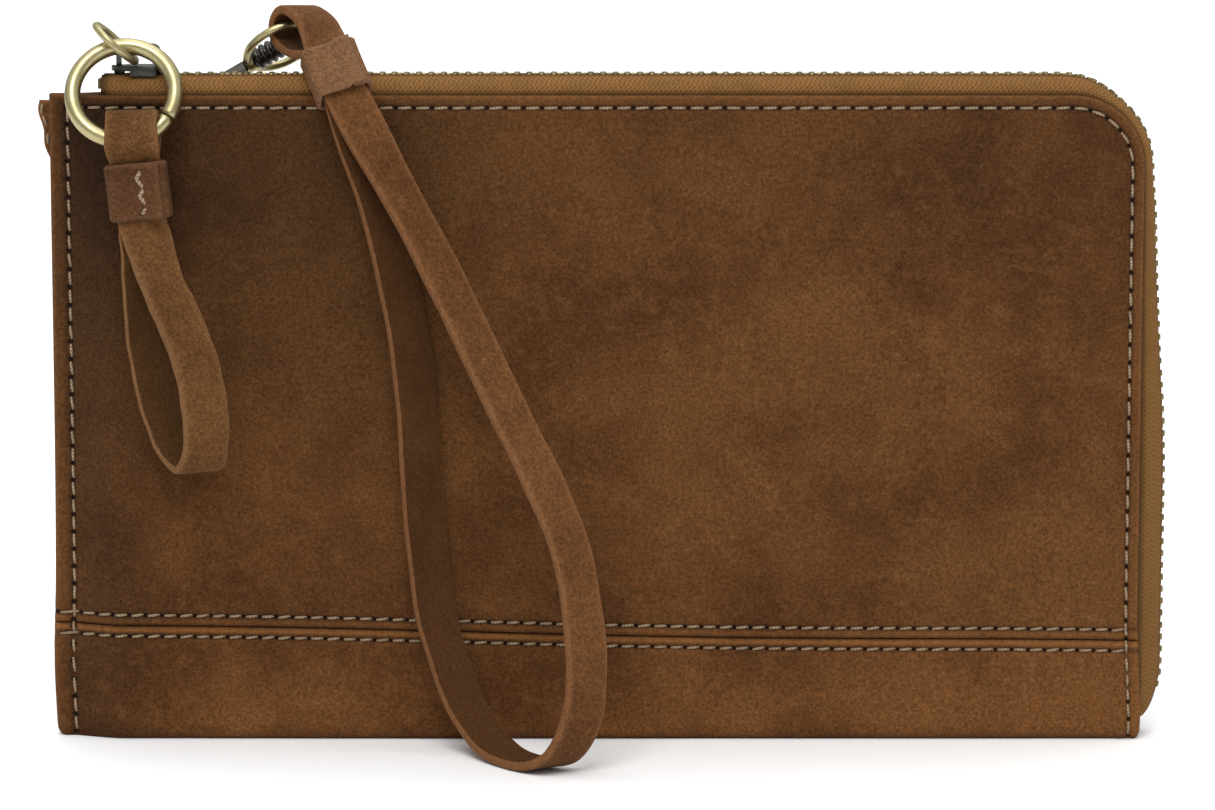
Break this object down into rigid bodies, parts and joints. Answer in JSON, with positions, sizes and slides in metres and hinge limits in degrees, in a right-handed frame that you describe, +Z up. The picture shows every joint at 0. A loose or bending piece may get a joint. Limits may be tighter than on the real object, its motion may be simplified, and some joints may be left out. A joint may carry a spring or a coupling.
{
  "type": "wristlet wallet",
  "caption": "Slim leather pouch with an L-shaped zip, ring-and-fob zip pull and a wrist strap on a swivel snap hook.",
  "frame": {"origin": "centre of the bottom fold, on the surface that the pouch stands on", "axes": "+X to the right along the top zip, -Y out of the front face, +Z up from the bottom fold to the zip"},
  "size_m": [0.2188, 0.0599, 0.1445],
  "materials": {
    "panel_leather": "matt waxed nubuck",
    "strap_leather": "matt waxed nubuck",
    "stiffener": "bonded felt",
    "lining_cloth": "twill",
    "thread": "waxed",
    "zip_tape": "woven",
    "antique_brass": "antique",
    "gunmetal": "satin",
    "spring_steel": "bright"
  },
  "bodies": {
    "pouch": {"front_panel": "panel_leather", "back_panel": "panel_leather", "bottom_band": "panel_leather", "front_stiffener": "stiffener", "back_stiffener": "stiffener", "lining": "lining_cloth", "card_pocket_1": "lining_cloth", "card_pocket_2": "lining_cloth", "card_pocket_3": "lining_cloth", "slip_pocket": "lining_cloth", "front_edge_thread": "thread", "back_edge_thread": "thread", "front_seam_thread": "thread", "back_seam_thread": "thread", "zip_tape_front": "zip_tape", "zip_tape_back": "zip_tape", "zip_teeth_front": "antique_brass", "zip_teeth_back": "antique_brass", "zip_end_stops": "antique_brass", "d_ring_tab": "strap_leather", "tab_thread": "thread"},
    "slider": {"slider_body": "gunmetal", "slider_bridge": "gunmetal"},
    "pull_link": {"jump_ring": "antique_brass"},
    "pull": {"pull_ring": "antique_brass"},
    "fob": {"fob_loop": "strap_leather", "fob_keeper": "strap_leather", "fob_thread": "thread"},
    "strap_anchor": {"d_ring": "antique_brass"},
    "hook": {"hook_body": "gunmetal", "gate_pin": "gunmetal", "gate_spring": "spring_steel", "swivel_post": "gunmetal"},
    "gate": {"hook_gate": "gunmetal"},
    "swivel": {"swivel_ring": "antique_brass"},
    "wristlet": {"wrist_strap": "strap_leather", "strap_keeper": "strap_leather"}
  },
  "joints": [
    {"name": "slider_travel", "type": "slide", "parent": "pouch", "child": "slider", "axis": [1, 0, 0], "range_m": [0, 0.174], "deforming": ["zip_teeth_front", "zip_teeth_back", "wrist_strap", "strap_keeper"]},
    {"name": "link_swing", "type": "hinge", "parent": "slider", "child": "pull_link", "pos_m": [-0.0904, 0, 0.1348], "axis": [0, 1, 0], "range_deg": [-12, 4]},
    {"name": "ring_swing", "type": "hinge", "parent": "pull_link", "child": "pull", "pos_m": [-0.0945, -0.004, 0.1368], "axis": [-1, 0, 0], "range_deg": [0, 60]},
    {"name": "fob_swing", "type": "hinge", "parent": "pull", "child": "fob", "pos_m": [-0.0921, -0.013, 0.1193], "axis": [-1, 0, 0], "range_deg": [0, 25]},
    {"name": "d_ring_swing", "type": "hinge", "parent": "pouch", "child": "strap_anchor", "pos_m": [-0.09501, 0.00959, 0.11589], "axis": [-1, 0, 0], "range_deg": [0, 90]},
    {"name": "hook_swing", "type": "hinge", "parent": "strap_anchor", "child": "hook", "pos_m": [-0.089, 0.0126, 0.1211], "axis": [-1, 0, 0], "range_deg": [0, 25]},
    {"name": "gate_open", "type": "hinge", "parent": "hook", "child": "gate", "pos_m": [-0.08111, 0.01322, 0.12559], "axis": [-0.4966, 0.0434, 0.8669], "range_deg": [0, 16], "stiffness_Nm_per_rad": 0.01, "springref_deg": -5.73},
    {"name": "swivel_turn", "type": "hinge", "parent": "hook", "child": "swivel", "pos_m": [-0.089, 0.0126, 0.1211], "axis": [-0.8636, 0.0756, -0.4985], "range_deg": [0, 60]},
    {"name": "strap_swing", "type": "hinge", "parent": "swivel", "child": "wristlet", "pos_m": [-0.0592, 0.0061, 0.1399], "axis": [-0.7581, -0.6511, 0.036], "range_deg": [0, 90]}
  ]
}
